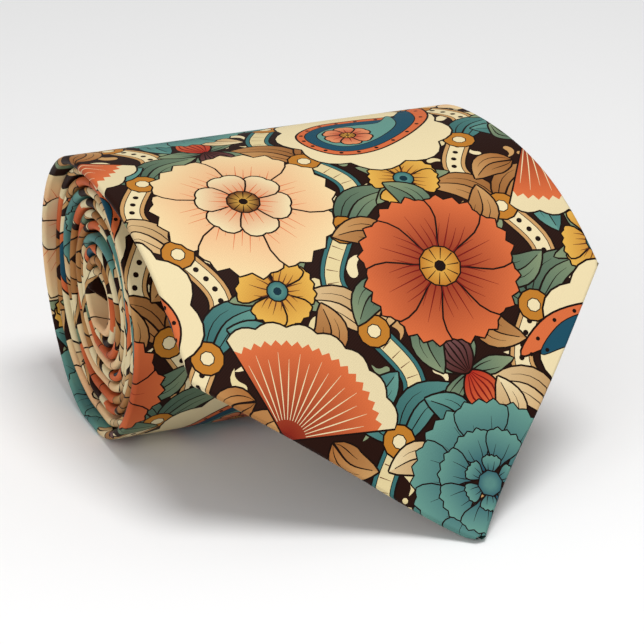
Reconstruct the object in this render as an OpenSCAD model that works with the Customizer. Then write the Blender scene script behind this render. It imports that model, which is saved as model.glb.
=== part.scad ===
// A lined necktie, rolled up from its narrow end, with the front of the wide
// blade left free so that it hangs over the roll and its point rests on the
// surface. The roll's axis is X, the blade's point faces -Y, and Z is up.

/* [Blade] */
// Width of the blade across its shoulders
blade_w = 101.6; // [90:0.4:105]
// Whole length of the tie, from point to point
tie_length = 1475; // [1400:5:1480]
// How much each side edge draws in for every millimetre of blade length
edge_taper = 0.0325; // [0.03:0.0005:0.036]
// Angle by which the free front is twisted against the roll
skew = 7; // [0:0.5:9]
// Bluntness of each point
tip_w = 2.4; // [2:0.2:4]

/* [Neck and tail] */
// Width of the neck, the narrowest stretch
neck_w = 38; // [34:1:44]
// Width of the tail across its shoulders
tail_w = 60; // [50:1:64]
// Distance from the blade's point to the seam between blade and neck
blade_length = 730; // [700:5:760]
// Distance from the blade's point to the seam between neck and tail
neck_end = 1030; // [1010:5:1050]

/* [Roll] */
// Outer radius of the roll
roll_r = 34.1; // [33.9:0.1:34.6]
// Distance from one turn to the next
pitch = 2.64; // [2.6:0.01:2.65]
// How far the roll settles flat where it rests
settle = 0.5; // [0.4:0.1:0.6]
// How far the second turn lies inside the first at the left end
first_step = 3; // [2:0.1:4]
// How far each further turn lies inside the one around it at the left end
end_step = 0.4; // [0.2:0.1:1]

/* [Cloth] */
// Thickness of the shell cloth
shell_t = 0.3; // [0.25:0.05:0.3]
// Thickness of the interlining
lining_t = 0.8; // [0.7:0.05:0.8]
// Thickness of the tipping, the lining cloth behind each point
tipping_t = 0.25; // [0.2:0.05:0.25]
// Width of the hem turned in along the point
hem_w = 9; // [7:0.5:11]

/* [Trim] */
// Distance from the blade's point to the middle of the keeper loop
keeper_at = 226; // [215:1:240]
// Width of the keeper loop's band
keeper_band = 12; // [10:1:14]
// Span of the keeper loop across the blade
keeper_span = 62; // [56:1:66]
// Distance from the blade's point to the middle of the care label
label_at = 330; // [320:1:360]
// Length and width of the care label
label_size = 26; // [22:1:30]

/* [Hinge] */
// Distance from the blade's point to the line where the free front bends up
hinge_at = 116; // [114:1:118]
// Gap between the two halves of the cloth at the bend
hinge_gap = 0.4; // [0.4:0.1:0.6]

/* [Hidden] */

// Heading of the free front, in degrees above level, at distances from the point.
heading_at = [[0, 18.5], [7.5, 49], [19, 67], [38, 53], [64, 45.5], [96, 8.8], [122, -7.5]];
leave_at = 122;            // where the blade leaves the roll
leave_heading = -7.5;
turn_steps = 24;           // stations in each turn of the roll
step_angle = 360 / turn_steps;
walk = 0.5;                // step of the walk along the free front

// Depths below the outer face, through one thickness of the folded tie.
clear = 0.05;
lining_top = shell_t + clear;
tipping_top = lining_top + lining_t + clear;
panel_top = tipping_top + tipping_t + clear;
panel_bottom = panel_top + shell_t;
lap_top = panel_bottom + clear;
lap_bottom = lap_top + shell_t;
trim_top = lap_bottom + clear;
trim_t = 0.25;
thread_t = 0.22;

// Walk along the free front from the point: each entry is [distance, y, z].
walk_path = [for (i = 0, y = 0, z = 0; i <= leave_at / walk;
                  y = y + walk * cos(lookup((i + 0.5) * walk, heading_at)),
                  z = z + walk * sin(lookup((i + 0.5) * walk, heading_at)),
                  i = i + 1) [i * walk, y, z]];
walk_y = [for (p = walk_path) [p[0], p[1]]];
walk_z = [for (p = walk_path) [p[0], p[2]]];

// The roll's centre lies straight below the outer face where the blade leaves it.
leave_y = lookup(leave_at, walk_y);
leave_z = lookup(leave_at, walk_z);
centre_y = leave_y + roll_r * sin(leave_heading);
centre_z = leave_z - roll_r * cos(leave_heading);
bottom_steps = (180 + leave_heading) / step_angle;
bottom_r = roll_r - pitch * bottom_steps / turn_steps;
floor_z = centre_z - bottom_r + settle;

// Side edges, as X at a distance s from the point. The free front is turned
// by the skew about a pivot on the roll's top, and eases into the straight roll.
pivot_s = 110;
ease = 25;
half_w = blade_w / 2;
point_x = pivot_s * sin(skew);
point_s = pivot_s * (1 - cos(skew));
left_x = -half_w * cos(skew) + (pivot_s - half_w) * sin(skew);
left_s = pivot_s - (pivot_s - half_w) * cos(skew) - half_w * sin(skew);
right_x = half_w * cos(skew) + (pivot_s - half_w) * sin(skew);
right_s = pivot_s - (pivot_s - half_w) * cos(skew) + half_w * sin(skew);
roll_w = blade_w - 2 * edge_taper * (leave_at - half_w);
tail_shoulder = tie_length - tail_w / 2;
neck_start = leave_at + (roll_w - neck_w) / (2 * edge_taper);
neck_stop = neck_start + 40;
// Widths along the rolled stretch.
width_at = [[leave_at, roll_w], [neck_start, neck_w], [neck_stop, neck_w],
            [tail_shoulder, tail_w], [tie_length, tip_w]];

function lean(s) = s < pivot_s - ease ? s - pivot_s
                 : s < pivot_s + ease ? -pow(pivot_s + ease - s, 2) / (4 * ease) : 0;
function front_half(s) = (half_w - (s - half_w) * edge_taper) / cos(skew);
function turns_in(s) = s < leave_at ? 0
    : (roll_r - sqrt(roll_r * roll_r - pitch * (s - leave_at) / PI)) / pitch;
left_start = -tan(skew) * lean(leave_at) - front_half(leave_at);
// The left edges of the rolled stretch step in by first_step over the first turn,
// and then by end_step a turn.
function left_steps(t) = first_step * min(1, t) + end_step * max(0, t - 1);
function roll_left(s) = left_start + (tan(skew) * lean(leave_at)) * min(1, (s - leave_at) / ease)
    + left_steps(turns_in(min(s, neck_start))) - 0.9 * max(0, s - neck_stop) / (tie_length - neck_stop);
function mix(a, b, f) = a + (b - a) * min(1, max(0, f));
function x_left(s) = s < left_s
    ? mix(point_x - tip_w / 2, left_x, (s - point_s) / (left_s - point_s))
    : s < leave_at ? -tan(skew) * lean(s) - front_half(s)
    : s < tail_shoulder ? roll_left(s)
    : mix(roll_left(tail_shoulder), roll_left(tail_shoulder) + (tail_w - tip_w) / 2,
          (s - tail_shoulder) / (tie_length - tail_shoulder));
function x_right(s) = s < right_s
    ? mix(point_x + tip_w / 2, right_x, (s - point_s) / (right_s - point_s))
    : s < leave_at ? -tan(skew) * lean(s) + front_half(s)
    : x_left(s) + lookup(s, width_at) * (front_half(leave_at) * 2 / roll_w);
function x_mid(s) = (x_left(s) + x_right(s)) / 2;

// A station is [s, y, z, heading, radius], the radius being 0 on the free front.
function front_station(s) = [s, lookup(s, walk_y), lookup(s, walk_z), lookup(s, heading_at), 0];
function roll_s(k) = leave_at
    + PI * (roll_r * roll_r - pow(roll_r - pitch * k / turn_steps, 2)) / pitch;
function roll_k(s) = turns_in(s) * turn_steps;
// A point at a depth below the outer face. Every turn is pressed flat at the
// bottom, one pitch above the turn around it.
function roll_point(k, x, depth) =
    let (h = leave_heading - step_angle * k, r = roll_r - pitch * k / turn_steps - depth,
         turn = round((k - bottom_steps) / turn_steps))
    [x, centre_y - r * sin(h), max(centre_z + r * cos(h), floor_z + depth + pitch * turn)];
function front_point(s, x, depth) =
    let (h = lookup(s, heading_at))
    [x, lookup(s, walk_y) + depth * sin(h), lookup(s, walk_z) - depth * cos(h)];
// Between stations the roll runs straight, so that all layers have parallel faces.
// In the tail, where the turns are small, every second station is enough.
coarse_from = 2 * ceil(roll_k(neck_end + 1) / 2);
function stride(k) = k < coarse_from - 0.0001 ? 1 : 2;
function place(s, x, depth) = s <= leave_at ? front_point(s, x, depth)
    : let (k = roll_k(s), n = stride(k), a = n * floor((k + 0.0001) / n), f = max(0, (k - a) / n))
      roll_point(a, x, depth) * (1 - f) + roll_point(a + n, x, depth) * f;

// Distances of all stations between two limits, the limits included.
lining_start = 8;
tipping_start = 5;
tack_start = 109;
tack_end = 111;
front_stops = [2.5, tipping_start, lining_start, 12, 16, 21, 27, 33, 39, left_s, 51, right_s, 65,
               72, 79, 86, 93, 100, tack_start - 4, tack_start, tack_end, leave_at];
tipping_gap = 4.4;
tail_stops = [tail_shoulder, tie_length - tipping_gap];
roll_stops = [for (k = [1 : 1 : roll_k(tie_length)]) let (s = roll_s(k))
    each concat([for (t = tail_stops) if (t > roll_s(k - 1) && t < s) t],
                [if ((stride(k) == 1 || k % 2 == 0) && min([for (t = tail_stops) abs(t - s)]) > 0.05) s])];
function stops(from, to) = concat([from],
    [for (s = front_stops) if (s > from + 0.3 && s < to - 0.3) s],
    [for (s = roll_stops) if (s > from + 0.3 && s < to - 0.3) s],
    [to]);

// Joins rings of equal length into one closed solid. Each ring is a band that
// runs out along one side of the cloth and back along the other.
module skin(rings) {
    n = len(rings[0]);
    m = len(rings);
    last = (m - 1) * n;
    sides = [for (i = [0 : m - 2], j = [0 : n - 1]) let (a = i * n + j, b = i * n + (j + 1) % n)
             each [[a, b + n, b], [a, a + n, b + n]]];
    near = [for (j = [0 : n / 2 - 2]) each [[j, j + 1, n - 1 - j], [j + 1, n - 2 - j, n - 1 - j]]];
    far = [for (f = near) [last + f[0], last + f[2], last + f[1]]];
    translate([-box_x, -box_y, -floor_z])
        polyhedron(points = [for (r = rings) each r], faces = concat(sides, near, far));
}
// Middle of the whole tie's box, seen from above.
box_x = (right_x + left_start + tan(skew) * lean(leave_at)) / 2;
back_step = floor((90 + leave_heading) / step_angle);
back_y = centre_y + (roll_r - pitch * back_step / turn_steps)
                    * sin(back_step * step_angle - leave_heading);
box_y = (lookup(point_s, walk_y) + back_y) / 2;

function ring(s, outline) = [for (p = outline) place(s, p[0], p[1])];
// A flat strip between two depths.
function strip(xa, xb, top, bottom) = [[xa, bottom], [xa, top], [xb, top], [xb, bottom]];
// Cloth folded in on both sides, its two back panels ending at xa and xb.
function folded(l, r, xa, xb) = [
    [xa, panel_bottom], [l, panel_bottom], [l, 0], [r, 0], [r, panel_bottom], [xb, panel_bottom],
    [xb, panel_top], [r - shell_t, panel_top], [r - shell_t, shell_t], [l + shell_t, shell_t],
    [l + shell_t, panel_top], [xa, panel_top]];
// The same with the right panel stepping over the left one at the middle.
lap = 4;
lap_rise = 1.2;
function lapped(l, r, m) = [
    [m + lap, panel_bottom], [l, panel_bottom], [l, 0], [r, 0], [r, panel_bottom],
    [m + lap + 2 * lap_rise, panel_bottom], [m + lap + lap_rise, lap_bottom],
    [m - lap, lap_bottom], [m - lap, lap_top], [m + lap + lap_rise, lap_top],
    [m + lap + 2 * lap_rise, panel_top], [r - shell_t, panel_top], [r - shell_t, shell_t],
    [l + shell_t, shell_t], [l + shell_t, panel_top], [m + lap, panel_top]];

// How far a back panel reaches in from its edge, given the distance from the
// nearer point, the half width there and the shoulder's distance from the point.
open_length = 52;      // from the shoulder to where the two panels meet
panel_gap = 0.5;
function reach(from_point, half, shoulder) =
    let (hem = min(hem_w, 0.8 * half))
    mix(hem, half - panel_gap, (from_point - shoulder) / open_length);
function front_folded(s) =
    let (l = x_left(s), r = x_right(s), h = (r - l) / 2)
    folded(l, r, l + reach(s, h, half_w), r - reach(s, h, half_w));
tail_open = 38;
function tail_folded(s) =
    let (l = x_left(s), r = x_right(s), h = (r - l) / 2, d = tie_length - s,
         hem = min(hem_w - 2, 0.8 * h),
         w = mix(hem, h - panel_gap, (d - tail_w / 2) / tail_open))
    folded(l, r, l + w, r - w);
tail_meet = tie_length - tail_w / 2 - tail_open;   // where the tail's panels meet

front_end = hinge_at - hinge_gap / 2;
roll_start = hinge_at + hinge_gap / 2;
seam_gap = 0.4;
edge_room = shell_t + 0.3;                     // from the tie's edge to its inner layers

module band(from, to, inset_l, inset_r, top, bottom)
    skin([for (s = stops(from, to))
          ring(s, strip(x_left(s) + inset_l, x_right(s) - inset_r, top, bottom))]);
// A patch centred on the tie's middle line, shifted sideways.
module patch(from, to, half, shift, top, bottom)
    skin([for (s = stops(from, to))
          ring(s, strip(x_mid(s) + shift - half, x_mid(s) + shift + half, top, bottom))]);

module blade_shell() color("#5c3a26")
    skin([for (s = stops(roll_start, blade_length))
          ring(s, lapped(x_left(s), x_right(s), x_mid(s)))]);
module blade_shell_front() color("#6f8a74")
    skin([for (s = stops(point_s, front_end)) ring(s, front_folded(s))]);
module neck_shell() color("#5c3a26")
    skin([for (s = stops(blade_length + seam_gap, neck_end))
          ring(s, lapped(x_left(s), x_right(s), x_mid(s)))]);
module tail_shell() color("#5c3a26")
    skin([for (s = stops(neck_end + seam_gap, tie_length)) ring(s, tail_folded(s))]);
module interlining() color("#e9e2d0")
    band(roll_start, tie_length - 6, edge_room, edge_room, lining_top, lining_top + lining_t);
module interlining_front() color("#e9e2d0")
    band(lining_start, front_end, edge_room, edge_room, lining_top, lining_top + lining_t);
module blade_tipping() color("#3a2219")
    band(tipping_start, tack_end, edge_room, edge_room, tipping_top, tipping_top + tipping_t);
module tail_tipping() color("#3a2219")
    band(tail_meet - 6, tie_length - tipping_gap, edge_room, edge_room, tipping_top, tipping_top + tipping_t);
module keeper_loop() color("#5c3a26")
    patch(keeper_at - keeper_band / 2, keeper_at + keeper_band / 2, keeper_span / 2, 0,
          trim_top, trim_top + trim_t);
module keeper_tacks() color("#2b1a14")
    for (side = [-1, 1])
        patch(keeper_at - keeper_band / 2, keeper_at + keeper_band / 2, 0.5,
              side * (keeper_span / 2 + 0.6), panel_bottom + 0.02, trim_top + trim_t);
module care_label() color("#efe6cf")
    patch(label_at - label_size / 2, label_at + label_size / 2, label_size * 0.45, 0,
          trim_top, trim_top + 0.2);
module label_stitches() color("#2b1a14")
    for (end = [-1, 1])
        patch(label_at + end * (label_size / 2 + 0.6) - 0.4, label_at + end * (label_size / 2 + 0.6) + 0.4,
              label_size * 0.4, 0, trim_top - 0.03, trim_top + thread_t);
module slip_stitch() color("#2b1a14")
    patch(leave_at, tail_meet - 2, 0.4, -lap - 0.7, panel_bottom + 0.02,
          panel_bottom + 0.02 + thread_t);
module blade_bar_tack() color("#2b1a14")
    patch(tack_start, tack_end, 4, 0, panel_bottom + 0.02, panel_bottom + 0.5);
module tail_bar_tack() color("#2b1a14")
    patch(tail_meet + 2, tail_meet + 3.4, 3, 0, panel_bottom + 0.02, panel_bottom + 0.4);
module blade_neck_seam() color("#2b1a14")
    band(blade_length + 0.1, blade_length + seam_gap - 0.1, 0.2, 0.2, 0.04, 0.04 + thread_t);
module neck_tail_seam() color("#2b1a14")
    band(neck_end + 0.1, neck_end + seam_gap - 0.1, 0.2, 0.2, 0.04, 0.04 + thread_t);

blade_shell();
blade_shell_front();
neck_shell();
tail_shell();
interlining();
interlining_front();
blade_tipping();
tail_tipping();
keeper_loop();
keeper_tacks();
care_label();
label_stitches();
slip_stitch();
blade_bar_tack();
tail_bar_tack();
blade_neck_seam();
neck_tail_seam();
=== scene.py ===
"""A rolled, lined necktie: printed silk shell, tipping, interlining and trim, on a pale floor."""
import math

import bpy
import numpy as np
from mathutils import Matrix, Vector
from mathutils.geometry import delaunay_2d_cdt


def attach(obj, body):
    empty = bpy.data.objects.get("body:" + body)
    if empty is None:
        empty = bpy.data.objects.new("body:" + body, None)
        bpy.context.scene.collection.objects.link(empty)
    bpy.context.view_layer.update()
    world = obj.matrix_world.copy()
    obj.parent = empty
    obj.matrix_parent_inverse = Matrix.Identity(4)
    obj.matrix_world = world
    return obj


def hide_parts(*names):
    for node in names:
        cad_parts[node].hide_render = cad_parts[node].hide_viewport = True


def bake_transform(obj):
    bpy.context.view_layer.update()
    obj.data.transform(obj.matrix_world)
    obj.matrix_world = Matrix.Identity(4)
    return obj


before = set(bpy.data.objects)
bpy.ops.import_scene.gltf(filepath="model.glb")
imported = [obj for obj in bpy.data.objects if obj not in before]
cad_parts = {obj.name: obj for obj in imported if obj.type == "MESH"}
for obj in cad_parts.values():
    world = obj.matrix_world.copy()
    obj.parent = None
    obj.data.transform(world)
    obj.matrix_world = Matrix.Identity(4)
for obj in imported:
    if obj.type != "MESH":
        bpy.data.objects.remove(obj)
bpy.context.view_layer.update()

MM = 0.001

# ---------------------------------------------------------------- the tie's shape, in mm
# The same dimensions as the CAD design: s runs along the cloth from the blade's
# point, x across it, and depth is measured inwards from the outer face.
BLADE_W = 101.6
TIE_LENGTH = 1475.0
EDGE_TAPER = 0.0325
SKEW = math.radians(7)
TIP_W = 2.4
NECK_W = 38.0
TAIL_W = 60.0
BLADE_LENGTH = 730.0
NECK_END = 1030.0
ROLL_R = 34.1
PITCH = 2.64
SETTLE = 0.5
FIRST_STEP = 3.0
END_STEP = 0.4
HINGE_AT = 116.0
HEADING_AT = ((0, 18.5), (7.5, 49), (19, 67), (38, 53), (64, 45.5), (96, 8.8), (122, -7.5))
LEAVE_AT = 122.0
LEAVE_HEADING = math.radians(-7.5)
PIVOT_S = 110.0
EASE = 25.0
HALF_W = BLADE_W / 2

WALK_STEP = 0.25
walk_s = np.arange(0, LEAVE_AT + WALK_STEP / 2, WALK_STEP)
walk_h = np.radians(np.interp(walk_s, *zip(*HEADING_AT)))
blur = np.exp(-0.5 * (np.arange(-24, 25) * WALK_STEP / 2.5) ** 2)
walk_h = np.convolve(np.pad(walk_h, 24, mode="reflect", reflect_type="odd"), blur / blur.sum(), "valid")
walk_y = np.concatenate([[0], np.cumsum(np.cos(walk_h[:-1]) * WALK_STEP)])
walk_z = np.concatenate([[0], np.cumsum(np.sin(walk_h[:-1]) * WALK_STEP)])
centre_y = walk_y[-1] + ROLL_R * math.sin(LEAVE_HEADING)
centre_z = walk_z[-1] - ROLL_R * math.cos(LEAVE_HEADING)
BOTTOM_TURNS = (math.pi + LEAVE_HEADING) / (2 * math.pi)
floor_z = centre_z - (ROLL_R - PITCH * BOTTOM_TURNS) + SETTLE

point_x = PIVOT_S * math.sin(SKEW)
point_s = PIVOT_S * (1 - math.cos(SKEW))
left_x = -HALF_W * math.cos(SKEW) + (PIVOT_S - HALF_W) * math.sin(SKEW)
left_s = PIVOT_S - (PIVOT_S - HALF_W) * math.cos(SKEW) - HALF_W * math.sin(SKEW)
right_x = HALF_W * math.cos(SKEW) + (PIVOT_S - HALF_W) * math.sin(SKEW)
right_s = PIVOT_S - (PIVOT_S - HALF_W) * math.cos(SKEW) + HALF_W * math.sin(SKEW)
roll_w = BLADE_W - 2 * EDGE_TAPER * (LEAVE_AT - HALF_W)
tail_shoulder = TIE_LENGTH - TAIL_W / 2
neck_start = LEAVE_AT + (roll_w - NECK_W) / (2 * EDGE_TAPER)
neck_stop = neck_start + 40
WIDTH_AT = ((LEAVE_AT, roll_w), (neck_start, NECK_W), (neck_stop, NECK_W),
            (tail_shoulder, TAIL_W), (TIE_LENGTH, TIP_W))


def lean(s):
    bent = -((PIVOT_S + EASE - s) ** 2) / (4 * EASE)
    return np.where(s < PIVOT_S - EASE, s - PIVOT_S, np.where(s < PIVOT_S + EASE, bent, 0.0))


def front_half(s):
    return (HALF_W - (s - HALF_W) * EDGE_TAPER) / math.cos(SKEW)


def turns_in(s):
    r2 = ROLL_R ** 2 - PITCH * (np.maximum(s, LEAVE_AT) - LEAVE_AT) / math.pi
    return (ROLL_R - np.sqrt(np.maximum(r2, 1.0))) / PITCH


lean_left = math.tan(SKEW) * float(lean(np.float64(LEAVE_AT)))
left_start = -lean_left - front_half(LEAVE_AT)
BOX_X = (right_x + left_start + lean_left) / 2
BACK_STEP = math.floor((90 - 7.5) / 15)
back_y = centre_y + (ROLL_R - PITCH * BACK_STEP / 24) * math.sin(math.radians(BACK_STEP * 15 + 7.5))
BOX_Y = (np.interp(point_s, walk_s, walk_y) + back_y) / 2


def roll_left(s):
    run = np.clip((s - LEAVE_AT) / EASE, 0, 1)
    turns = turns_in(np.minimum(s, neck_start))
    steps = FIRST_STEP * np.minimum(1, turns) + END_STEP * np.maximum(0, turns - 1)
    spread = 0.9 * np.maximum(0, s - neck_stop) / (TIE_LENGTH - neck_stop)
    return left_start + lean_left * run + steps - spread


def x_left(s):
    s = np.asarray(s, float)
    f = np.clip((s - point_s) / (left_s - point_s), 0, 1)
    front = np.where(s < left_s, point_x - TIP_W / 2 + (left_x - point_x + TIP_W / 2) * f,
                     -math.tan(SKEW) * lean(s) - front_half(s))
    g = np.clip((s - tail_shoulder) / (TIE_LENGTH - tail_shoulder), 0, 1)
    rolled = np.where(s < tail_shoulder, roll_left(s),
                      roll_left(np.float64(tail_shoulder)) + g * (TAIL_W - TIP_W) / 2)
    return np.where(s < LEAVE_AT, front, rolled)


def x_right(s):
    s = np.asarray(s, float)
    f = np.clip((s - point_s) / (right_s - point_s), 0, 1)
    front = np.where(s < right_s, point_x + TIP_W / 2 + (right_x - point_x - TIP_W / 2) * f,
                     -math.tan(SKEW) * lean(s) + front_half(s))
    wide = np.interp(s, *zip(*WIDTH_AT)) * (front_half(LEAVE_AT) * 2 / roll_w)
    return np.where(s < LEAVE_AT, front, x_left(s) + wide)


def sway(s):
    """Small drift of the rolled turns to left and right, so that they aren't ruled straight."""
    on = np.clip((s - 150) / 80, 0, 1)
    return on * (0.30 * np.sin(s / 13.1) + 0.22 * np.sin(s / 7.3 + 1.2))


def place(x, s, depth):
    """Points in metres, in the row frame, for x across, s along and depth below the outer face."""
    x, s, depth = np.broadcast_arrays(np.asarray(x, float), np.asarray(s, float), np.asarray(depth, float))
    h = np.interp(s, walk_s, walk_h)
    yf = np.interp(s, walk_s, walk_y) + depth * np.sin(h)
    zf = np.interp(s, walk_s, walk_z) - depth * np.cos(h)
    turns = turns_in(s)
    a = LEAVE_HEADING - 2 * math.pi * turns
    loose = 0.12 * np.sin(s / 11.0) * np.clip((s - 180) / 60, 0, 1)
    r = ROLL_R - PITCH * turns - depth + loose
    yr = centre_y - r * np.sin(a)
    zr = centre_z + r * np.cos(a)
    flat = floor_z + depth + PITCH * np.round(turns - BOTTOM_TURNS)
    zr = 0.5 * (zr + flat + np.sqrt((zr - flat) ** 2 + 0.05))
    rolled = s > LEAVE_AT
    y = np.where(rolled, yr, yf) - BOX_Y
    z = np.where(rolled, zr, zf) - floor_z
    return np.stack([x + sway(s) - BOX_X, y, z], -1) * MM


# Depths through the folded tie, in mm.
BEND_R = 1.0
LAP_RISE = 0.28
LAP = 4.0
HEM_W = 9.0
OPEN_LENGTH = 52.0
TAIL_OPEN = 38.0
tail_meet = TIE_LENGTH - TAIL_W / 2 - TAIL_OPEN


def bend_radius(s):
    half = (x_right(s) - x_left(s)) / 2
    return np.minimum(BEND_R, 0.35 * half)


def panel_reach(s):
    """How far each back panel reaches in from the tie's edge."""
    s = np.asarray(s, float)
    half = (x_right(s) - x_left(s)) / 2
    blade = np.minimum(HEM_W, 0.8 * half)
    blade = blade + (half + LAP - blade) * np.clip((s - HALF_W) / OPEN_LENGTH, 0, 1)
    tail = np.minimum(HEM_W - 2, 0.8 * half)
    gap = (TIE_LENGTH - s - TAIL_W / 2) / TAIL_OPEN
    tail = tail + (half + LAP - tail) * np.clip(gap, 0, 1)
    return np.where(s < 700, blade, tail)


def fold(w, s):
    """x and depth of the shell cloth, w being its distance across when it is laid flat."""
    rb = bend_radius(s)
    left, right = x_left(s) + rb, x_right(s) - rb
    mid = (left + right) / 2
    bend = math.pi * rb
    t_left, t_right = left - w, w - right
    x, depth = np.array(w, float), np.zeros_like(w, float)
    for t, edge, sign in ((t_left, left, -1), (t_right, right, 1)):
        turning = (t > 0) & (t < bend)
        behind = t >= bend
        x = np.where(turning, edge + sign * rb * np.sin(t / rb), x)
        depth = np.where(turning, rb * (1 - np.cos(np.clip(t / rb, 0, math.pi))), depth)
        x = np.where(behind, edge - sign * (t - bend), x)
        depth = np.where(behind, 2 * rb, depth)
        if sign > 0:
            over = np.clip((LAP + 2.5 - (x - mid)) / 2.0, 0, 1)
            depth = np.where(behind, depth + LAP_RISE * over * over * (3 - 2 * over), depth)
    return x, depth


def sheet_limits(s):
    """Lowest and highest w of the shell cloth at s."""
    rb = bend_radius(s)
    reach = panel_reach(s) - rb
    return x_left(s) + rb - math.pi * rb - reach, x_right(s) - rb + math.pi * rb + reach


def shell_point(w, s):
    x, depth = fold(w, s)
    return place(x, s, depth)


# ---------------------------------------------------------------- drawing tools for the print
DYE = 0.77           # how much of the light the dyed cloth gives back


def rgb(code, lift=DYE):
    """A colour written as it looks on screen, as linear values."""
    parts = np.array([int(code[i:i + 2], 16) / 255 for i in (1, 3, 5)])
    linear = np.where(parts <= 0.04045, parts / 12.92, ((parts + 0.055) / 1.055) ** 2.4)
    return np.clip(linear * lift, 0, 1)


INK = rgb("#1d0e09")
GROUND = rgb("#29130c")
MAROON = rgb("#4a1d18")
CREAM = rgb("#f4e2b4")
IVORY = rgb("#ead7a2")
SAGE = rgb("#8b9a76")
SAGE_DARK = rgb("#4f6c5c")
TEAL = rgb("#3c7272")
TEAL_LIGHT = rgb("#6a9d90")
DEEP = rgb("#1e5064")
NAVY = rgb("#14323f")
TAN = rgb("#a96b36")
TAN_LIGHT = rgb("#d0a066")
MUSTARD = rgb("#eab652")
AMBER = rgb("#c47f2c")
ORANGE = rgb("#de7040")
RED = rgb("#b62c1f")
WINE = rgb("#7c1612")
CORAL = rgb("#ef9a6a")
PEACH = rgb("#f8dca8")
MAUVE = rgb("#7d5655")
UMBER = rgb("#6a3a20")

shapes = []          # drawn in order: each is (outline, paint, fine)


def flat(colour):
    return ("flat", colour, colour, None, None)


def fade(start, end, at, to):
    """A colour that runs from start at one point to end at another."""
    return ("fade", start, end, np.array(at, float), np.array(to, float))


def glow(centre_colour, rim_colour, centre, radius):
    return ("glow", centre_colour, rim_colour, np.array(centre, float), float(radius))


def curve(points, steps=6, closed=False):
    """A smooth line through the points."""
    p = np.array(points, float)
    n = len(p)
    if closed:
        q = [p[(i + k) % n] for i in range(n) for k in (-1, 0, 1, 2)]
        spans = n
    else:
        e = np.vstack([2 * p[0] - p[1], p, 2 * p[-1] - p[-2]])
        q = [e[i + k] for i in range(n - 1) for k in range(4)]
        spans = n - 1
    q = np.array(q).reshape(spans, 4, 2)
    t = (np.arange(steps) / steps)[None, :, None]
    a, b, c, d = (q[:, k][:, None, :] for k in range(4))
    line = 0.5 * (2 * b + (c - a) * t + (2 * a - 5 * b + 4 * c - d) * t ** 2
                  + (3 * b - 3 * c + d - a) * t ** 3)
    line = line.reshape(-1, 2)
    return line if closed else np.vstack([line, p[-1]])


def normals_of(line, closed):
    if closed:
        d = np.roll(line, -1, 0) - np.roll(line, 1, 0)
    else:
        d = np.gradient(line, axis=0)
    d = d / np.maximum(np.linalg.norm(d, axis=1, keepdims=True), 1e-9)
    return np.stack([d[:, 1], -d[:, 0]], 1)


def grown(outline, by):
    x, y = outline[:, 0], outline[:, 1]
    turn = np.sign(np.sum(x * np.roll(y, -1) - y * np.roll(x, -1)))
    return outline + normals_of(outline, True) * by * turn


def fill(outline, paint, ink=0.32, fine=0):
    outline = np.asarray(outline, float)
    if ink:
        shapes.append((grown(outline, ink), flat(INK), fine))
    shapes.append((outline, paint, fine))


def blob(points, paint, ink=0.32, steps=6, fine=0):
    fill(curve(points, steps, True), paint, ink, fine)


def ribbon_outline(line, width):
    n = normals_of(line, False)
    w = np.asarray(width, float)[:, None] / 2
    return np.vstack([line + n * w, (line - n * w)[::-1]])


def stroke(points, widths, paint, ink=0.0, steps=5, fine=0):
    """A line of changing width: widths are given evenly along it."""
    line = curve(points, steps) if len(points) > 2 else np.array(points, float)
    if len(points) == 2:
        line = np.linspace(line[0], line[1], 4)
    w = np.interp(np.linspace(0, 1, len(line)), np.linspace(0, 1, len(widths)), widths)
    fill(ribbon_outline(line, np.maximum(w, 0.04)), paint, ink, fine)


def turned(points, at, angle, size=1.0):
    """Points drawn about the origin along +x, turned by angle in degrees and moved."""
    a = math.radians(angle)
    m = np.array([[math.cos(a), math.sin(a)], [-math.sin(a), math.cos(a)]])
    return np.array(points, float) * size @ m + np.array(at, float)


def dot(at, radius, paint, ink=0.0, sides=10, fine=0):
    a = np.linspace(0, 2 * math.pi, sides, endpoint=False)
    fill(np.stack([at[0] + radius * np.cos(a), at[1] + radius * np.sin(a)], 1), paint, ink, fine)


PETAL_ROUND = ((0, 0), (0.3, 0.2), (0.65, 0.44), (0.92, 0.36), (1.0, 0.12), (0.97, 0), (1.0, -0.12),
               (0.92, -0.36), (0.65, -0.44), (0.3, -0.2))
PETAL_POINTED = ((0, 0), (0.25, 0.22), (0.55, 0.34), (0.85, 0.18), (1.05, 0), (0.85, -0.18),
                 (0.55, -0.34), (0.25, -0.22))
PETAL_WAVED = ((0, 0), (0.3, 0.2), (0.6, 0.45), (0.85, 0.5), (0.93, 0.36), (1.02, 0.28), (0.97, 0.14),
               (1.04, 0), (0.96, -0.13), (1.02, -0.27), (0.92, -0.36), (0.86, -0.5), (0.6, -0.45),
               (0.3, -0.2))


def petal(at, angle, length, width, inner, outer, form=PETAL_ROUND, rays=6, ray=None, ink=0.34,
          ray_w=0.3, reach=0.78):
    """One petal from its base, shaded from inner to outer, with engraved rays."""
    points = np.array(form) * (length, width)
    end = turned([(length, 0)], at, angle)[0]
    blob(turned(points, at, angle), fade(inner, outer, at, end), ink, 2)
    if rays:
        ray = flat(INK if ray is None else ray)
        for k in range(rays):
            f = (k + 0.5) / rays * 2 - 1
            far = reach * (1 - 0.22 * abs(f)) - 0.12 * (k % 2)
            side = f * width * 0.36
            stroke(turned([(0.12 * length, side * 0.25), (far * 0.55 * length, side * 0.8),
                           (far * length, side)], at, angle), (ray_w, ray_w * 0.8, 0.05), ray, 0, 3, 1)


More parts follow.
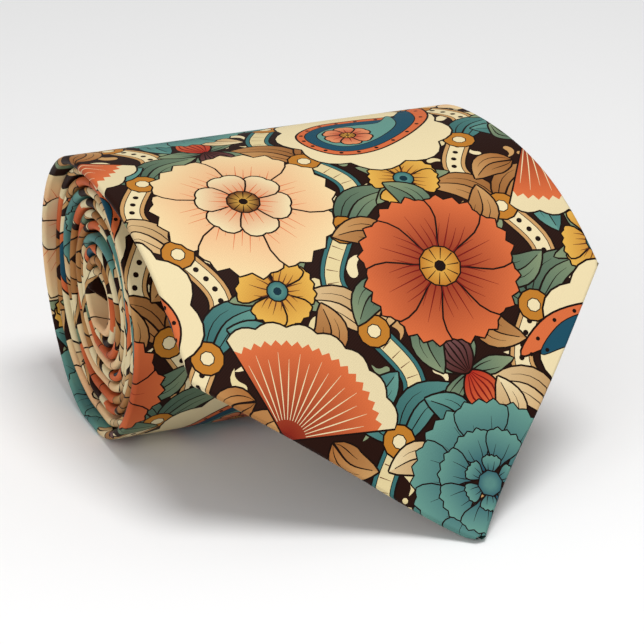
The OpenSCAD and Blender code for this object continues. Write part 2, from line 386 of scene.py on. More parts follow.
def leaf(spine, width, light, dark, veins=3, ink=0.36, full=0.42, side=1):
    """A long leaf along its spine, base first, darker along one side, with engraved veins."""
    line = curve(spine, 5)
    t = np.linspace(0, 1, len(line))
    swell = np.sin(math.pi * np.clip(t, 0, 1) ** (math.log(0.5) / math.log(full))) ** 0.8
    swell = np.maximum(swell * width, 0.5 * (1 - t) * 0.9)
    n = normals_of(line, False)
    up, down = line + n * (swell / 2)[:, None], line - n * (swell / 2)[:, None]
    fill(np.vstack([up, down[::-1]]), fade(dark, light, line[0], line[-1]), ink)
    half = down if side > 0 else up
    fill(np.vstack([line, half[::-1]]), fade(dark * 0.8, (light + dark) / 2, line[0], line[-1]), 0)
    rib = int(len(line) * 0.95)
    fill(ribbon_outline(line[:rib], np.interp(t[:rib], (0, 1), (0.5, 0.12))), flat(INK), 0)
    for k in range(veins):
        for sign in (-1, 1):
            f = sign * (k + 1) / (veins + 1)
            a = int(len(line) * (0.08 + 0.1 * k))
            b = int(len(line) * (0.72 - 0.06 * k + 0.05 * sign))
            if b - a < 4:
                continue
            inner = line[a:b] + n[a:b] * (swell[a:b] / 2 * f)[:, None]
            vein = np.interp(np.linspace(0, 1, b - a), (0, 0.4, 1), (0.06, 0.24, 0.05))
            fill(ribbon_outline(inner, vein), flat(INK), 0, 1)


def flower(centre, radius, count, inner, outer, eye, eye_rim, start=90, form=PETAL_WAVED, rays=6,
           ray=None, eye_size=0.3):
    for k in range(count):
        petal(centre, start + 360 * k / count, radius, radius * 1.5 * 2.5 / count + radius * 0.28,
              inner, outer, form, rays, ray)
    dot(centre, radius * eye_size, glow(eye, eye_rim, centre, radius * eye_size), 0.3, 12)
    for k in range(10):
        a = math.radians(36 * k)
        r = radius * eye_size
        c = np.array(centre, float)
        d = np.array([math.cos(a), math.sin(a)])
        stroke([c + d * r * 0.35, c + d * r * 0.95], (0.1, 0.26), flat(INK), 0, 3, 1)
    dot(centre, radius * eye_size * 0.3, flat(INK), 0, 8, 1)


def fan(centre, radius, first, last, scallops, inner, outer, edge, rays=14, ray=None):
    """A fan of petals joined together, with a scalloped, pale edge."""
    angles = np.linspace(first, last, scallops * 5 + 1)
    wave = 1 + 0.045 * np.abs(np.sin(np.pi * np.arange(len(angles)) / 5))
    a = np.radians(angles)
    rim = np.stack([np.cos(a), np.sin(a)], 1) * (radius * wave)[:, None] + centre
    fill(np.vstack([[centre], rim]), fade(edge, edge * 0.9, centre, rim[len(rim) // 2]), 0.36)
    jag = 0.84 + 0.05 * (np.arange(len(angles)) % 2)
    inside = np.stack([np.cos(a), np.sin(a)], 1) * (radius * jag)[:, None] + centre
    fill(np.vstack([[centre], inside]), glow(inner, outer, centre, radius * 0.85), 0)
    ray = flat(CREAM if ray is None else ray)
    for k in range(rays):
        b = math.radians(first + (last - first) * (k + 0.5) / rays)
        d = np.array([math.cos(b), math.sin(b)])
        c = np.array(centre, float)
        ends = [c + d * radius * 0.18, c + d * radius * (0.72 + 0.06 * (k % 2))]
        stroke(ends, (0.1, 0.24, 0.05), ray, 0, 3, 1)


def ruffle(centre, radius, rows, light, dark, start=0):
    """A many-petalled bloom, seen from above, its petals in rings."""
    for row in range(rows, 0, -1):
        r = radius * row / rows
        count = 4 + 2 * row
        for k in range(count):
            a = start + 360 * (k + 0.5 * (row % 2)) / count
            at = turned([(r * 0.25, 0)], centre, a)[0]
            petal(at, a, r * 0.78, r * 0.72, dark, light, PETAL_WAVED, 2, None, 0.26, 0.2, 0.85)
    dot(centre, radius * 0.16, glow(light, dark, centre, radius * 0.2), 0.25, 8)


def band(points, width, rim, body, marks="beads", step=1.7):
    """A scroll's band, with a rim along both sides and beads or ticks along its middle."""
    line = curve(points, 8)
    w = np.full(len(line), width)
    fill(ribbon_outline(line, w), flat(rim), 0.36)
    fill(ribbon_outline(line, w * 0.62), flat(body), 0.16)
    length = np.concatenate([[0], np.cumsum(np.linalg.norm(np.diff(line, axis=0), axis=1))])
    n = normals_of(line, False)
    for d in np.arange(step / 2, length[-1], step):
        c = np.array([np.interp(d, length, line[:, i]) for i in (0, 1)])
        side = np.array([np.interp(d, length, n[:, i]) for i in (0, 1)])
        if marks == "beads":
            dot(c, width * 0.13, flat(INK), 0, 8, 1)
        else:
            stroke([c - side * width * 0.26, c + side * width * 0.26], (0.2, 0.07), flat(UMBER), 0, 3, 1)


def bud(at, angle, length, width, inner, outer, stripe, stripes=7):
    """A closed, ribbed bud."""
    points = [(0, 0), (0.2, 0.38), (0.5, 0.52), (0.82, 0.3),
              (1.05, 0), (0.82, -0.3), (0.5, -0.52), (0.2, -0.38)]
    end = turned([(length, 0)], at, angle)[0]
    blob(turned(np.array(points) * (length, width), at, angle), fade(inner, outer, at, end), 0.36)
    for k in range(stripes):
        f = (k + 0.5) / stripes * 2 - 1
        near, middle = f * width * 0.1, f * width * 0.46
        rib = [(0.04 * length, near), (0.5 * length, middle), (0.97 * length, near)]
        stroke(turned(rib, at, angle), (0.12, 0.36, 0.08), flat(stripe), 0, 4, 1)


def pansy(centre, size, inner, outer, eye, ray, start=90):
    for angle, reach, width in ((125, 1.0, 1.05), (55, 1.0, 1.05), (180, 0.95, 0.95), (0, 0.95, 0.95),
                                (270, 1.05, 1.35)):
        petal(centre, angle + start - 90, size * reach, size * width, inner, outer, PETAL_WAVED, 4, ray)
    dot(centre, size * 0.27, glow(TEAL_LIGHT, eye, centre, size * 0.27), 0.3, 12)
    dot(centre, size * 0.12, flat(NAVY), 0, 8)


def curls(places, colour):
    """Comma-shaped marks, each given as (x, y, angle, length)."""
    form = ((0, 0), (0.18, 0.22), (0.45, 0.3), (0.78, 0.18), (1.0, -0.14), (0.74, 0.0), (0.5, -0.02),
            (0.34, -0.12), (0.2, -0.2), (0.05, -0.16))
    for x, y, angle, size in places:
        blob(turned(form, (x, y), angle, size), flat(colour), 0, 2)


FILLER_ROWS, FILLER_COLUMNS = 24, 14


def filler():
    """Small pale leaves and curls on the dark ground, behind everything else."""
    k = 0
    for row in range(FILLER_ROWS):
        for col in range(FILLER_COLUMNS):
            k += 1
            x = (col + 0.5 * (row % 2)) * REPEAT_X / FILLER_COLUMNS - REPEAT_X / 2
            x += 1.6 * math.sin(k * 2.17)
            y = row * REPEAT_S / FILLER_ROWS + 1.4 * math.cos(k * 1.31)
            turn = 360 * ((k * 0.381966) % 1)
            size = 4.3 + 1.1 * math.sin(k * 0.77)
            paint = (CREAM, IVORY, CREAM, TAN_LIGHT, SAGE)[k % 5]
            curls(((x, y, turn, size),), paint)
            if k % 3 == 0:
                dot(turned([(size * 0.6, size * 0.55)], (x, y), turn)[0], 0.55, flat(paint), 0, 7)


# ---------------------------------------------------------------- the print, in mm on the flat cloth
# A generic ornament of flowers, drops, fans and leaves in a half-drop repeat. Every place and outline comes
# from a rule or a stock form: it shares the photographed cloth's colours, scale and density and no motif.
REPEAT_X = 124.0
REPEAT_S = 200.0
COLUMNS, ROWS = 4, 5
CELL_X, CELL_S = REPEAT_X / COLUMNS, REPEAT_S / ROWS
ENLARGED = 1.25      # from the size the repeat is drawn at to its size on the cloth
GOLDEN = 0.381966
WINDING = 5.0
LEAF_PAIRS = ((SAGE, SAGE_DARK), (TAN_LIGHT, TAN), (TEAL_LIGHT, TEAL), (CREAM, TAN_LIGHT))
DROP_FORM = ((-0.5, 0), (-0.38, 0.32), (0, 0.45), (0.4, 0.32), (0.8, 0.14), (1.2, 0.34), (1.0, -0.08),
             (0.55, -0.34), (0, -0.45), (-0.38, -0.32))


def cell_places():
    """Each cell's column, row and middle, with every other column dropped by half a cell."""
    for col in range(COLUMNS):
        for row in range(ROWS):
            middle = ((col + 0.5) * CELL_X - REPEAT_X / 2, (row + 0.25 + 0.5 * (col % 2)) * CELL_S)
            yield col, row, middle


def winding_bands():
    """Beaded bands that wind up the cloth between the columns, with a leaf to each side at each bend."""
    for col in range(COLUMNS):
        border = (col + 1) * CELL_X - REPEAT_X / 2
        sign = 1 if col % 2 == 0 else -1
        s = np.linspace(0, REPEAT_S, ROWS * 4 + 1)
        x = border + sign * WINDING * np.cos(2 * math.pi * (s / CELL_S - 0.25))
        rim, body, marks = ((TAN_LIGHT, CREAM, "beads"), (TEAL, IVORY, "ticks"))[col % 2]
        band(np.stack([x, s], 1), 4.2, rim, body, marks, 2.4)
        for k in range(2 * ROWS):
            at = (border, k * CELL_S / 2)
            light, dark = LEAF_PAIRS[(k + col) % 4]
            for side in (-1, 1):
                leaf([at, (at[0] + side * 5, at[1] + 6), (at[0] + side * 13, at[1] + 8)], 6.5, light, dark,
                     1, side=side)
            dot(at, 2.9, flat(AMBER), 0.34, 12)
            dot(at, 1.2, flat(CREAM), 0.2, 8)


def cloud(at, radius, paint, lobes=9):
    """A pale, scalloped round behind a motif."""
    a = np.linspace(0, 2 * math.pi, lobes * 6, endpoint=False)
    r = radius * (0.9 + 0.12 * np.abs(np.sin(a * lobes / 2)))
    fill(np.stack([at[0] + r * np.cos(a), at[1] + r * np.sin(a)], 1), flat(paint), 0.4)


def drop(at, angle, size, rim, body, middle):
    """A drop with a bent tip, in three rings with beads between, and a small flower in its round end."""
    for scale, paint, ink in ((1.0, rim, 0.4), (0.84, body, 0.2), (0.6, middle, 0.2)):
        blob(turned(DROP_FORM, at, angle, size * scale), flat(paint), ink)
    ring = curve(turned(DROP_FORM, at, angle, size * 0.92), 2, True)
    for bead in ring:
        dot(bead, size * 0.022, flat(INK), 0, 7, 1)
    flower(at, size * 0.24, 6, RED, CORAL, MUSTARD, AMBER, angle, PETAL_ROUND, 1, WINE, 0.3)


def spray(at, radius, count, start, pairs):
    """Leaves that fan out all round a motif, each from under its rim."""
    for k in range(count):
        turn = start + 360 * k / count
        light, dark = pairs[k % len(pairs)]
        spine = [turned([(radius * reach, 0)], at, turn + bend)[0]
                 for reach, bend in ((0.5, 0), (0.76, 3), (1, 14))]
        leaf(spine, 6.0, light, dark, 1)


def motif(kind, at, angle):
    """The large motif at a cell's middle."""
    if kind == 0:
        spray(at, 20, 7, angle, LEAF_PAIRS[:2])
        flower(at, 14.5, 8, WINE, ORANGE, MUSTARD, AMBER, angle, PETAL_WAVED, 5, WINE, 0.26)
    elif kind == 1:
        cloud(at, 16.5, CREAM)
        drop(turned([(-3.5, 0)], at, angle)[0], angle, 19, ORANGE, DEEP, TEAL_LIGHT)
    elif kind == 2:
        spray(at, 18, 6, angle, LEAF_PAIRS[1:3])
        base = turned([(-8, 0)], at, angle)[0]
        fan(base, 20, angle - 56, angle + 56, 7, WINE, ORANGE, CREAM, 15)
        bud(base, angle + 180, 8, 7, SAGE_DARK, SAGE, INK, 5)
    elif kind == 3:
        flower(at, 16.5, 6, CORAL, PEACH, SAGE, SAGE_DARK, angle, PETAL_WAVED, 7, ORANGE, 0.24)
        flower(at, 8.5, 6, ORANGE, CREAM, MUSTARD, UMBER, angle + 30, PETAL_ROUND, 4, ORANGE, 0.34)
    else:
        spray(at, 19, 8, angle, LEAF_PAIRS[2:])
        ruffle(at, 14, 3, TEAL_LIGHT, DEEP, angle)


def small_motif(col, row, at):
    """Between two motifs of a column: a pansy or a pair of buds, with small petals round them."""
    between = (at[0], at[1] + CELL_S / 2)
    turn = 360 * ((col * ROWS + row) * GOLDEN % 1)
    for k in range(5):
        petal(between, turn + 72 * k, 8.6, 4.6, SAGE_DARK, SAGE, PETAL_POINTED, 2)
    if (col + row) % 2:
        pansy(between, 6.6, AMBER, MUSTARD, TEAL, UMBER, turn)
    else:
        bud(between, turn, 8.5, 6.0, RED, ORANGE, WINE, 5)
        bud(between, turn + 180, 8.5, 6.0, MAROON, MAUVE, INK, 5)


def small_motifs():
    for col, row, at in cell_places():
        small_motif(col, row, at)


def large_motifs():
    for col, row, at in cell_places():
        motif((row + 2 * col) % 5, at, 360 * ((3 * col + row) * GOLDEN % 1))


def inside(outline, points):
    """Which points lie within a closed outline."""
    a, b = outline, np.roll(outline, -1, 0)
    across = (a[:, 1] > points[:, None, 1]) != (b[:, 1] > points[:, None, 1])
    rise = np.where(b[:, 1] == a[:, 1], 1.0, b[:, 1] - a[:, 1])
    at = a[:, 0] + (points[:, None, 1] - a[:, 1]) / rise * (b[:, 0] - a[:, 0])
    return (across & (points[:, None, 0] < at)).sum(1) % 2 == 1


def uncovered(drawn):
    """The numbers of the shapes that no later one hides completely."""
    lows = np.array([o.min(0) for o, _, _ in drawn])
    highs = np.array([o.max(0) for o, _, _ in drawn])
    kept = []
    for k in range(len(drawn)):
        over = (lows[k + 1:] <= lows[k]).all(1) & (highs[k + 1:] >= highs[k]).all(1)
        later = [drawn[k + 1 + j][0] for j in np.flatnonzero(over)]
        if not any(inside(outline, drawn[k][0]).all() for outline in later):
            kept.append(k)
    return kept


def enlarged(shape):
    outline, (kind, first, second, one, two), fine = shape
    if one is not None:
        one, two = one * ENLARGED, two * ENLARGED
    return outline * ENLARGED, (kind, first, second, one, two), fine


levels = []
for level, draw in enumerate((filler, winding_bands, small_motifs, large_motifs)):
    draw()
    levels += [level] * (len(shapes) - len(levels))
shown = uncovered(shapes)
repeat_shapes = [enlarged(shapes[k]) for k in shown]
repeat_levels = [levels[k] for k in shown]

# ---------------------------------------------------------------- meshes
GRID_JITTER = 0.25
FOLD_ANGLES = np.radians((0, 30, 60, 90, 120, 150, 180))


def moved(shape, by):
    outline, (kind, first, second, one, two), fine = shape
    if one is not None:
        one = one + by
    if kind == "fade":
        two = two + by
    return outline + by, (kind, first, second, one, two), fine


def edge_distance(w, s):
    """How far w lies outside the left and the right fold, in mm along the cloth."""
    return x_left(s) - w, w - x_right(s)


def laid_shapes(start, end, wanted):
    """The shapes that fall on a stretch of the cloth, level by level across all copies of the repeat."""
    low, high = sheet_limits(np.linspace(start, end, 60))
    low, high = low.min(), high.max()
    lows = np.array([o.min(0) for o, _, _ in repeat_shapes])
    highs = np.array([o.max(0) for o, _, _ in repeat_shapes])
    laid = []
    across, along = REPEAT_X * ENLARGED, REPEAT_S * ENLARGED
    for j in range(math.floor(start / along) - 1, math.ceil(end / along) + 1):
        for i in range(-2, 3):
            by = np.array((i * across, j * along))
            a, b = lows + by, highs + by
            on = (b[:, 0] > low) & (a[:, 0] < high) & (b[:, 1] > start) & (a[:, 1] < end)
            mid = (a + b) / 2
            reach = (b - a).max(1) / 2
            for k in np.flatnonzero(on):
                if wanted(mid[k, 0], mid[k, 1], repeat_shapes[k][2], reach[k]):
                    laid.append((repeat_levels[k], moved(repeat_shapes[k], by)))
    laid.sort(key=lambda item: item[0])
    return [shape for _, shape in laid]


def everywhere(w, s, fine, reach):
    """All shapes on the outer face, and all but the finest on the hidden back."""
    left, right = edge_distance(w, s)
    beyond = max(left, right) - reach
    return beyond < 3 if fine else beyond < 4 or reach > 1.6


SHOWS_LEFT_OF = -14.0


def under_the_flap(w, s, fine, reach):
    """The fine lines only where the roll shows beside the flap."""
    return everywhere(w, s, fine, reach) and (not fine or w < SHOWS_LEFT_OF)


def near_ends(w, s, fine, reach):
    """Only what shows at the two ends of the roll."""
    left, right = edge_distance(w, s)
    at_left = -3 < left + reach and left - reach < 8
    at_right = -3 < right + reach and right - reach < 17
    return not fine and (at_left or at_right)


def mesh_from(name, points, faces, material, normals=None):
    mesh = bpy.data.meshes.new(name)
    mesh.vertices.add(len(points))
    mesh.vertices.foreach_set("co", np.asarray(points, np.float32).ravel())
    sizes = np.array([len(f) for f in faces])
    mesh.loops.add(int(sizes.sum()))
    mesh.loops.foreach_set("vertex_index", np.concatenate([np.asarray(f) for f in faces]).astype(np.int32))
    mesh.polygons.add(len(faces))
    mesh.polygons.foreach_set("loop_start", np.concatenate([[0], np.cumsum(sizes)[:-1]]).astype(np.int32))
    mesh.polygons.foreach_set("use_smooth", np.ones(len(faces), bool))
    mesh.update(calc_edges=True)
    mesh.validate()
    if normals is not None:
        mesh.normals_split_custom_set_from_vertices(np.asarray(normals, np.float32))
    mesh.materials.append(material)
    obj = bpy.data.objects.new(name, mesh)
    bpy.context.scene.collection.objects.link(obj)
    return obj


def cloth(name, start, end, step, grid, wanted, material):
    """The folded shell cloth between two distances: a flat map of the print, wrapped round the tie."""
    s = np.linspace(start, end, max(2, round((end - start) / step) + 1))
    low, high = sheet_limits(s)
    rb = bend_radius(s)
    left, right = x_left(s) + rb, x_right(s) - rb
    points, edges = [], []

    def line(w, at, closed=False):
        first = len(points)
        points.extend(zip(w, at))
        edges.extend((k, k + 1) for k in range(first, len(points) - 1))
        if closed:
            edges.append((len(points) - 1, first))

    line(np.concatenate([low, high[::-1]]), np.concatenate([s, s[::-1]]), True)
    for angle in FOLD_ANGLES:
        line(np.maximum(left - rb * angle, low), s)
        line(np.minimum(right + rb * angle, high), s)
    for across in (0.5, 1.1, 1.5, 1.9, 2.5):
        lap = right + math.pi * rb + (right - (left + right) / 2 - LAP - across)
        line(np.minimum(lap, high), s)
    shapes_here = laid_shapes(start, end, wanted)
    for outline, _, _ in shapes_here:
        line(outline[:, 0], outline[:, 1], True)
    rows = np.arange(start + 0.31 * grid, end, grid)
    for k, row in enumerate(rows):
        a, b = sheet_limits(row)
        across = np.arange(float(a) + (0.35 + 0.5 * (k % 2)) * grid, float(b) - 0.3 * grid, grid)
        jitter = GRID_JITTER * grid * np.sin(across * 3.7 + row * 2.3)
        points.extend(zip(across, row + jitter))
    found = delaunay_2d_cdt([Vector(p) for p in points], edges, [], 0, 1e-4, False)
    flat_points = np.array([tuple(v) for v in found[0]])
    tri = np.array([f for f in found[2] if len(f) == 3])
    corners = flat_points[tri]
    centre = corners.mean(1)
    one, two = corners[:, 1] - corners[:, 0], corners[:, 2] - corners[:, 0]
    size = (one[:, 0] * two[:, 1] - one[:, 1] * two[:, 0]) / 2
    keep = (centre[:, 1] > start) & (centre[:, 1] < end) & (np.abs(size) > 1e-7)
    keep &= (centre[:, 0] > np.interp(centre[:, 1], s, low))
    keep &= (centre[:, 0] < np.interp(centre[:, 1], s, high))
    tri, corners, centre, size = tri[keep], corners[keep], centre[keep], size[keep]
    tri[size < 0] = tri[size < 0][:, ::-1]
    corners = flat_points[tri]

    colour = np.tile(GROUND, (len(tri), 3, 1))
    order = np.argsort(centre[:, 1])
    by_s = centre[order]
    for outline, (kind, first, second, at, to), _ in shapes_here:
        lo, hi = outline.min(0), outline.max(0)
        some = order[np.searchsorted(by_s[:, 1], lo[1]):np.searchsorted(by_s[:, 1], hi[1])]
        some = some[(centre[some, 0] > lo[0]) & (centre[some, 0] < hi[0])]
        some = some[inside(outline, centre[some])]
        if kind == "flat":
            colour[some] = first
            continue
        if kind == "fade":
            run = to - at
            f = ((corners[some] - at) @ run) / (run @ run)
        else:
            f = np.linalg.norm(corners[some] - at, axis=2) / to
        f = np.clip(f, 0, 1)[..., None]
        colour[some] = first * (1 - f) + second * f

    used, tri = np.unique(tri, return_inverse=True)
    tri = tri.reshape(-1, 3)
    w, at = flat_points[used].T
    near = 0.03
    at_in = np.clip(at, start + near, end - near)
    lowest, highest = sheet_limits(at_in)
    w_in = np.clip(w, lowest + near, highest - near)
    du = shell_point(w_in + near, at_in) - shell_point(w_in - near, at_in)
    dv = shell_point(w_in, at_in + near) - shell_point(w_in, at_in - near)
    normals = np.cross(du, dv)
    normals /= np.maximum(np.linalg.norm(normals, axis=1, keepdims=True), 1e-12)
    obj = mesh_from(name, shell_point(w, at), tri, material, normals)
    mesh = obj.data
    paint = mesh.color_attributes.new("print", "FLOAT_COLOR", "CORNER")
    rgba = np.ones((len(tri) * 3, 4), np.float32)
    rgba[:, :3] = colour.reshape(-1, 3)
    uv = np.stack([w, at], -1)[tri.ravel()] / 100
    layer = mesh.uv_layers.new(name="cloth")
    if len(mesh.loops) == len(rgba):
        paint.data.foreach_set("color", rgba.ravel())
        layer.data.foreach_set("uv", uv.astype(np.float32).ravel())
    area = float(np.abs(size).sum()) * MM * MM
    span = float((high - low).max()) * MM, (end - start) * MM
    return obj, span, area


def ribbon(name, start, end, left, right, top, bottom, material):
    """A flat strip of cloth with soft edges that follows the rolled tie, as a closed mesh."""
    turns = np.arange(math.ceil(float(turns_in(start)) * 80), float(turns_in(end)) * 80) / 80
    rolled = LEAVE_AT + math.pi * (ROLL_R ** 2 - (ROLL_R - PITCH * turns) ** 2) / PITCH
    front = np.arange(start, min(end, LEAVE_AT), 1.2)
    s = np.concatenate([front, rolled[rolled > LEAVE_AT]])
    s = np.unique(np.concatenate([[start], s[(s > start + 0.2) & (s < end - 0.2)], [end]]))
    soft = (bottom - top) / 2
    turn = np.radians(np.arange(-90, 91, 30))
    xr = right(s)[:, None] - soft * (1 - np.cos(turn))
    xl = left(s)[:, None] + soft * (1 - np.cos(turn))
    depth = (top + bottom) / 2 + soft * np.sin(turn)
    x = np.concatenate([xr, xl[:, ::-1]], 1)
    depth = np.concatenate([depth, depth[::-1]])
    points = place(x, s[:, None], depth[None, :]).reshape(-1, 3)
    n, rings = x.shape[1], len(s)
    faces = []
    for i in range(rings - 1):
        for k in range(n):
            a, b = i * n + k, i * n + (k + 1) % n
            faces.append((a, a + n, b + n, b))
    faces.append(tuple(range(n)))
    faces.append(tuple(reversed(range((rings - 1) * n, rings * n))))
    obj = mesh_from(name, points, faces, material)
    width = right(s) - left(s)
    steps = np.diff(s)
    area = float(((width[1:] + width[:-1]) / 2 * steps).sum()) * MM * MM
    return obj, (float(width.max()) * MM, (end - start) * MM), area


def threads(name, lines, radius, material, sides=6):
    """Sewing thread along each line of (x, s, depth), in one mesh."""
    points, faces = [], []
    for line in lines:
        p = place(*np.array(line, float).T)
        along = np.gradient(p, axis=0)
        along /= np.linalg.norm(along, axis=1, keepdims=True)
        side = np.cross(along, (0.2, 0.3, 1.0))
        side /= np.linalg.norm(side, axis=1, keepdims=True)
        up = np.cross(side, along)
        first = len(points)
        for k in range(len(p)):
            size = radius * MM * (0.45 if k in (0, len(p) - 1) else 1.0)
            for j in range(sides):
                a = 2 * math.pi * j / sides
                points.append(p[k] + size * (math.cos(a) * side[k] + math.sin(a) * up[k]))
        for k in range(len(p) - 1):
            for j in range(sides):
                a, b = first + k * sides + j, first + k * sides + (j + 1) % sides
                faces.append((a, b, b + sides, a + sides))
        faces.append(tuple(first + j for j in reversed(range(sides))))
        faces.append(tuple(first + (len(p) - 1) * sides + j for j in range(sides)))
    return mesh_from(name, points, faces, material)


# ---------------------------------------------------------------- materials
def material(name, colour, roughness, sheen=0.0, specular=0.5):
    made = bpy.data.materials.new(name)
    made.use_nodes = True
    shader = made.node_tree.nodes["Principled BSDF"]
    shader.inputs["Base Color"].default_value = (*colour, 1)
    shader.inputs["Roughness"].default_value = roughness
    shader.inputs["Sheen Weight"].default_value = sheen
    shader.inputs["Sheen Roughness"].default_value = 0.4
    shader.inputs["Specular IOR Level"].default_value = specular
    return made, shader


def weave(made, shader, scale, strength, distance):
    """A fine twill relief along the cloth, with a slight unevenness."""
    nodes, links = made.node_tree.nodes, made.node_tree.links
    place_in = nodes.new("ShaderNodeTexCoord")
    turn = nodes.new("ShaderNodeMapping")
    turn.inputs["Rotation"].default_value = (0, 0, math.radians(52))
    links.new(place_in.outputs["UV"], turn.inputs["Vector"])
    lines = nodes.new("ShaderNodeTexWave")
    lines.inputs["Scale"].default_value = scale
    lines.inputs["Distortion"].default_value = 0.6
    lines.inputs["Detail"].default_value = 1.0
    links.new(turn.outputs["Vector"], lines.inputs["Vector"])
    bump = nodes.new("ShaderNodeBump")
    bump.inputs["Strength"].default_value = strength
    bump.inputs["Distance"].default_value = distance
    links.new(lines.outputs["Fac"], bump.inputs["Height"])
    links.new(bump.outputs["Normal"], shader.inputs["Normal"])


silk, silk_shader = material("printed_silk", GROUND, 0.5, 0.0, 0.05)
dye = silk.node_tree.nodes.new("ShaderNodeVertexColor")
dye.layer_name = "print"
silk.node_tree.links.new(dye.outputs["Color"], silk_shader.inputs["Base Color"])
weave(silk, silk_shader, 60, 0.12, 0.0001)
wool, _ = material("interlining_wool", rgb("#e6dfcd"), 0.95, 0.4, 0.2)
satin, _ = material("tipping_satin", rgb("#38211a"), 0.34, 0.1, 0.5)
plain_silk, _ = material("keeper_silk", rgb("#3a2218"), 0.55, 0.0, 0.3)
label_satin, _ = material("label_satin", rgb("#e9dfc6"), 0.4, 0.1, 0.4)
thread, _ = material("sewing_thread", rgb("#2b1a14"), 0.6, 0.2, 0.3)

# ---------------------------------------------------------------- the tie
FRONT_CLOTH_END = 183.0
ROLL_FRONT_END = 345.0
SEAM_GAP = 0.4
INNER = 0.6
LINING_TOP, LINING_BOTTOM = 0.4, 1.2
TIPPING_TOP, TIPPING_BOTTOM = 1.3, 1.6
TRIM_TOP, TRIM_BOTTOM = 2.33, 2.5
KEEPER_AT, KEEPER_BAND, KEEPER_SPAN = 226.0, 12.0, 62.0
LABEL_AT, LABEL_LONG, LABEL_WIDE = 330.0, 26.0, 23.4
TACK_START, TACK_END = 109.0, 111.0
LINING_SPLIT = 125.0
THREAD_R = 0.13


def inner_left(s):
    return x_left(s) + INNER


def inner_right(s):
    return x_right(s) - INNER


def centred(half):
    """Left and right limits of a strip centred on the tie's middle line."""
    return (lambda s: (x_left(s) + x_right(s)) / 2 - half), (lambda s: (x_left(s) + x_right(s)) / 2 + half)


def mid_x(s):
    return float((x_left(s) + x_right(s)) / 2)


def sewn(obj, slot, *nodes):
    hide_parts(*nodes)
    return obj


blade_front, size_a, area_a = cloth("blade_cloth_front", float(point_s) + 0.01, FRONT_CLOTH_END,
                                    1.5, 3.2, everywhere, silk)
blade_roll, size_b, area_b = cloth("blade_cloth_roll", FRONT_CLOTH_END, ROLL_FRONT_END,
                                   1.5, 2.2, under_the_flap, silk)
blade_inner, size_c, area_c = cloth("blade_cloth_inner", ROLL_FRONT_END, BLADE_LENGTH + SEAM_GAP / 2,
                                    2.0, 3.2, near_ends, silk)
neck, size_d, area_d = cloth("neck_cloth", BLADE_LENGTH + SEAM_GAP / 2, NECK_END + SEAM_GAP / 2,
                             2.0, 2.8, near_ends, silk)
tail, size_e, area_e = cloth("tail_cloth", NECK_END + SEAM_GAP / 2, TIE_LENGTH - 0.01,
                             1.2, 2.0, near_ends, silk)
lining_front, size_f, area_f = ribbon("interlining_cloth_front", 8.0, LINING_SPLIT, inner_left,
                                      inner_right, LINING_TOP, LINING_BOTTOM, wool)
lining, size_g, area_g = ribbon("interlining_cloth_roll", LINING_SPLIT, TIE_LENGTH - 6, inner_left,
                                inner_right, LINING_TOP, LINING_BOTTOM, wool)
tipping, size_h, area_h = ribbon("blade_tipping_satin", 5.0, TACK_END, inner_left, inner_right,
                                 TIPPING_TOP, TIPPING_BOTTOM, satin)
tail_tip, size_i, area_i = ribbon("tail_tipping_satin", tail_meet - 6, TIE_LENGTH - 5, inner_left,
                                  inner_right, TIPPING_TOP, TIPPING_BOTTOM, satin)
keeper, size_j, area_j = ribbon("keeper_band", KEEPER_AT - KEEPER_BAND / 2, KEEPER_AT + KEEPER_BAND / 2,
                                *centred(KEEPER_SPAN / 2), TRIM_TOP, TRIM_BOTTOM, plain_silk)
label, size_k, area_k = ribbon("label_patch", LABEL_AT - LABEL_LONG / 2, LABEL_AT + LABEL_LONG / 2,
                               *centred(LABEL_WIDE / 2), TRIM_TOP, TRIM_BOTTOM, label_satin)


def satin_tack(at, length, half, depth, pitch=0.42):
    """Close side-by-side stitches, each arching over the cloth."""
    lines = []
    for k in range(round(2 * half / pitch) + 1):
        x = mid_x(at) - half + k * pitch
        lines.append([(x + 0.1 * f, at - length / 2 + length * f, depth + 0.2 * math.sin(math.pi * f))
                      for f in (0, 0.15, 0.35, 0.5, 0.65, 0.85, 1)])
    return lines


seam_line = []
for k in range(int((tail_meet - 2 - LEAVE_AT) / 0.9)):
    at = LEAVE_AT + 0.5 + 0.9 * k
    seam_line.append((mid_x(at) - LAP - 0.35 + 0.3 * math.sin(k * 1.1), at, 2.3 - 0.12 * math.sin(k * 1.1)))
slip_stitch = threads("slip_stitch_thread", [seam_line], THREAD_R, thread)
front_tack = threads("blade_tack_thread", satin_tack((TACK_START + TACK_END) / 2, TACK_END - TACK_START,
                                                     4.0, 2.36), THREAD_R, thread)
tail_tack = threads("tail_tack_thread", satin_tack(tail_meet + 2.7, 1.4, 3.0, 2.3), THREAD_R, thread)
keeper_ends, label_ends = [], []
for side in (-1, 1):
    for k in range(13):
        at = KEEPER_AT - KEEPER_BAND / 2 + 0.5 + k * 0.92
        x = mid_x(at) + side * KEEPER_SPAN / 2
        keeper_ends.append([(x + side * f, at, 2.42 if f < 0.1 else 2.2) for f in (-0.7, -0.2, 0.3, 0.6)])
    for k in range(24):
        at = LABEL_AT + side * LABEL_LONG / 2
        x = mid_x(at) - LABEL_WIDE / 2 + 0.8 + k * 0.95
        label_ends.append([(x, at + side * f, 2.48 if f < 0.1 else 2.4) for f in (-0.7, -0.2, 0.3, 0.6)])
keeper_tack = threads("keeper_tack_thread", keeper_ends, 0.1, thread)
label_tack = threads("label_tack_thread", label_ends, 0.08, thread)
seam_one, _, _ = ribbon("blade_neck_stitches", BLADE_LENGTH + 0.1, BLADE_LENGTH + 0.3,
                        inner_left, inner_right, 0.04, 0.26, thread)
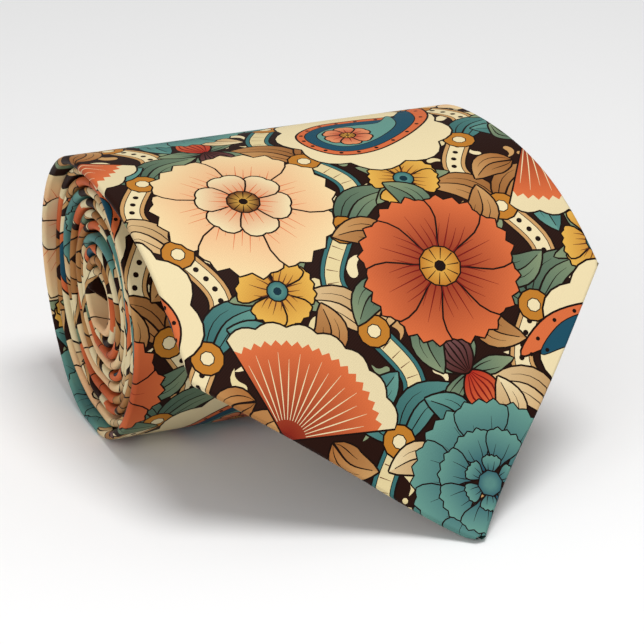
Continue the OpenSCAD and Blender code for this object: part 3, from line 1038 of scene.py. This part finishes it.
seam_two, _, _ = ribbon("neck_tail_stitches", NECK_END + 0.1, NECK_END + 0.3,
                        inner_left, inner_right, 0.04, 0.26, thread)

hinge_y = float(place(0.0, HINGE_AT, 0.0)[1])
hinge_z = float(place(0.0, HINGE_AT, 0.0)[2])
sewn(blade_front, "printed_silk", "blade_shell_front")
sewn(blade_roll, "printed_silk", "blade_shell")
sewn(blade_inner, "printed_silk", "blade_shell")
sewn(neck, "printed_silk", "neck_shell")
sewn(tail, "printed_silk", "tail_shell")
sewn(lining_front, "interlining_cloth", "interlining_front")
sewn(lining, "interlining_cloth", "interlining")
sewn(tipping, "tipping_cloth", "blade_tipping")
sewn(tail_tip, "tipping_cloth", "tail_tipping")
sewn(keeper, "keeper_silk", "keeper_loop")
sewn(keeper_tack, "sewing_thread", "keeper_tacks")
sewn(label, "label_satin", "care_label")
sewn(label_tack, "sewing_thread", "label_stitches")
sewn(slip_stitch, "sewing_thread", "slip_stitch")
sewn(front_tack, "sewing_thread", "blade_bar_tack")
sewn(tail_tack, "sewing_thread", "tail_bar_tack")
sewn(seam_one, "sewing_thread", "blade_neck_seam")
sewn(seam_two, "sewing_thread", "neck_tail_seam")
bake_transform(blade_front)
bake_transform(lining_front)
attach(tipping, "front")
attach(front_tack, "front")
for obj in (blade_roll, blade_inner, neck, tail, lining, tail_tip, keeper, keeper_tack, label,
            label_tack, slip_stitch, tail_tack, seam_one, seam_two):
    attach(obj, "roll")

# ---------------------------------------------------------------- floor, light and camera
scene = bpy.context.scene
bpy.ops.mesh.primitive_plane_add(size=6, location=(0, 0, 0))
floor = bpy.context.active_object
floor.name = "studio_floor"
floor_paint, _ = material("floor_paper", (0.86, 0.86, 0.86), 0.9, 0.0, 0.1)
floor.data.materials.append(floor_paint)

world = bpy.data.worlds.new("studio")
world.use_nodes = True
world.node_tree.nodes["Background"].inputs["Color"].default_value = (1, 1, 1, 1)
world.node_tree.nodes["Background"].inputs["Strength"].default_value = 0.44
scene.world = world
scene.view_settings.view_transform = "Standard"


def softbox(name, at, aim, size, power):
    lamp = bpy.data.lights.new(name, "AREA")
    lamp.shape = "DISK"
    lamp.size = size
    lamp.energy = power
    obj = bpy.data.objects.new(name, lamp)
    obj.location = at
    obj.rotation_mode = "QUATERNION"
    obj.rotation_quaternion = (Vector(aim) - Vector(at)).to_track_quat("-Z", "Y")
    scene.collection.objects.link(obj)


softbox("key", (0.05, -0.28, 1.0), (0, 0, 0.03), 0.46, 7.0)
softbox("fill", (-0.8, -0.6, 0.5), (0, 0, 0.03), 0.8, 3.6)

camera_data = bpy.data.cameras.new("camera")
camera = bpy.data.objects.new("camera", camera_data)
scene.collection.objects.link(camera)
CAMERA_AZIMUTH, CAMERA_ELEVATION, CAMERA_RANGE = math.radians(-22.0), math.radians(23.72), 0.7172
target = Vector((0.0219, 0.0638, 0.0))
toward = Vector((math.sin(CAMERA_AZIMUTH) * math.cos(CAMERA_ELEVATION),
                 -math.cos(CAMERA_AZIMUTH) * math.cos(CAMERA_ELEVATION), math.sin(CAMERA_ELEVATION)))
camera.location = target + toward * CAMERA_RANGE
camera.rotation_mode = "QUATERNION"
camera.rotation_quaternion = (-toward).to_track_quat("-Z", "Y")
camera_data.sensor_width = 36
camera_data.lens = 156.1
scene.camera = camera
